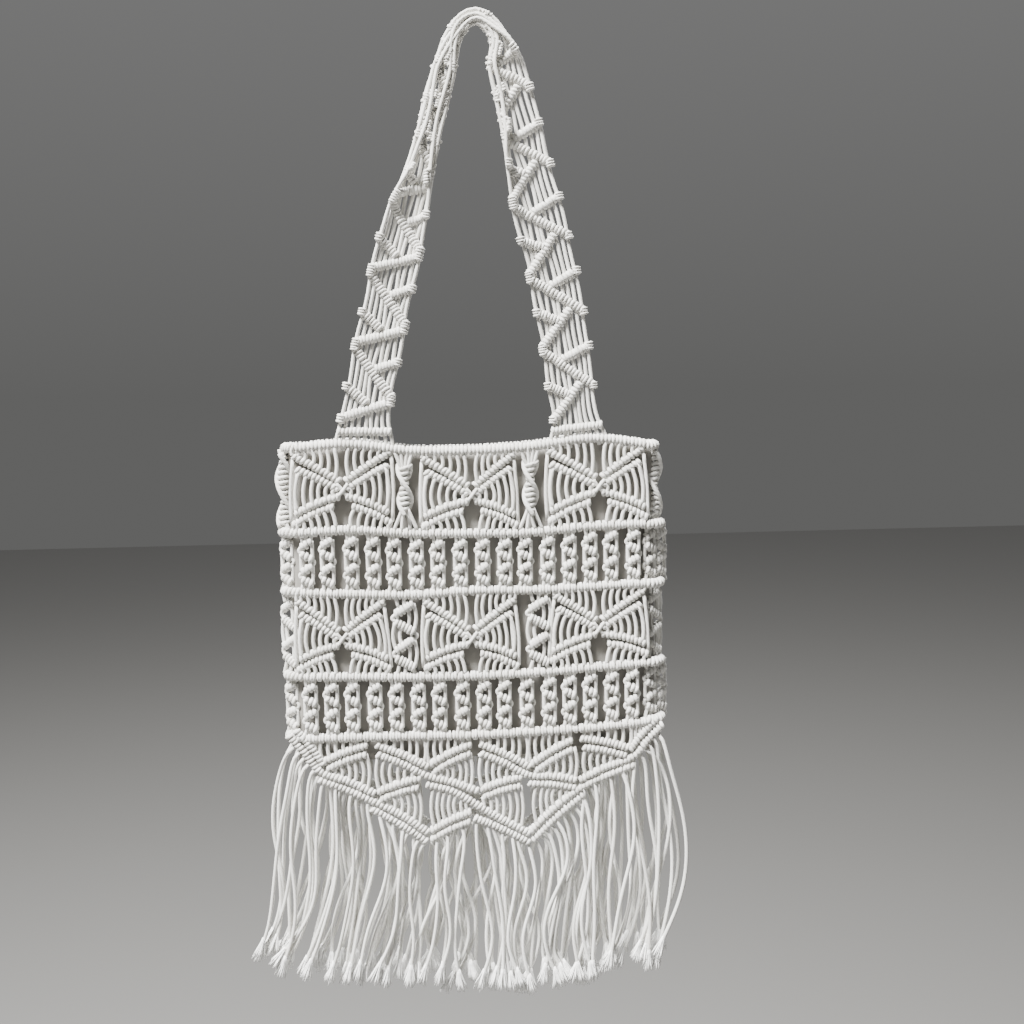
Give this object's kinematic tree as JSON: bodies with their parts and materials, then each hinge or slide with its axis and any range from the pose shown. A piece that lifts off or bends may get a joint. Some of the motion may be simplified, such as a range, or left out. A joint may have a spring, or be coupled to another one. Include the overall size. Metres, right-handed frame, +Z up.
{
  "type": "macrame shoulder bag",
  "caption": "Flat shoulder bag of knotted cotton cord with openwork rows, a cloth lining, a long knotted strap and a fringe along its pointed hem.",
  "frame": {"origin": "the hanging point, under the top of the strap's loop", "axes": "+Z up along the hanging bag, +X to the right of someone who faces its front, +Y from the front to the back"},
  "size_m": [0.3489, 0.0311, 0.7868],
  "materials": {
    "knotted_cord": "matt undyed cotton cord, knotted",
    "fringe_cord": "matt undyed cotton cord, loose, with frayed ends",
    "lining_cloth": "matt plain woven cotton"
  },
  "bodies": {
    "root": {"strap": "knotted_cord", "front_top_edge": "knotted_cord", "front_upper_butterfly_row": "knotted_cord", "front_upper_chain_row": "knotted_cord", "front_lower_butterfly_row": "knotted_cord", "front_lower_chain_row": "knotted_cord", "front_hem_net": "knotted_cord", "front_fringe": "fringe_cord", "back_top_edge": "knotted_cord", "back_upper_butterfly_row": "knotted_cord", "back_upper_chain_row": "knotted_cord", "back_lower_butterfly_row": "knotted_cord", "back_lower_chain_row": "knotted_cord", "back_hem_net": "knotted_cord", "back_fringe": "fringe_cord", "left_side": "knotted_cord", "right_side": "knotted_cord", "lining": "lining_cloth"}
  },
  "joints": []
}
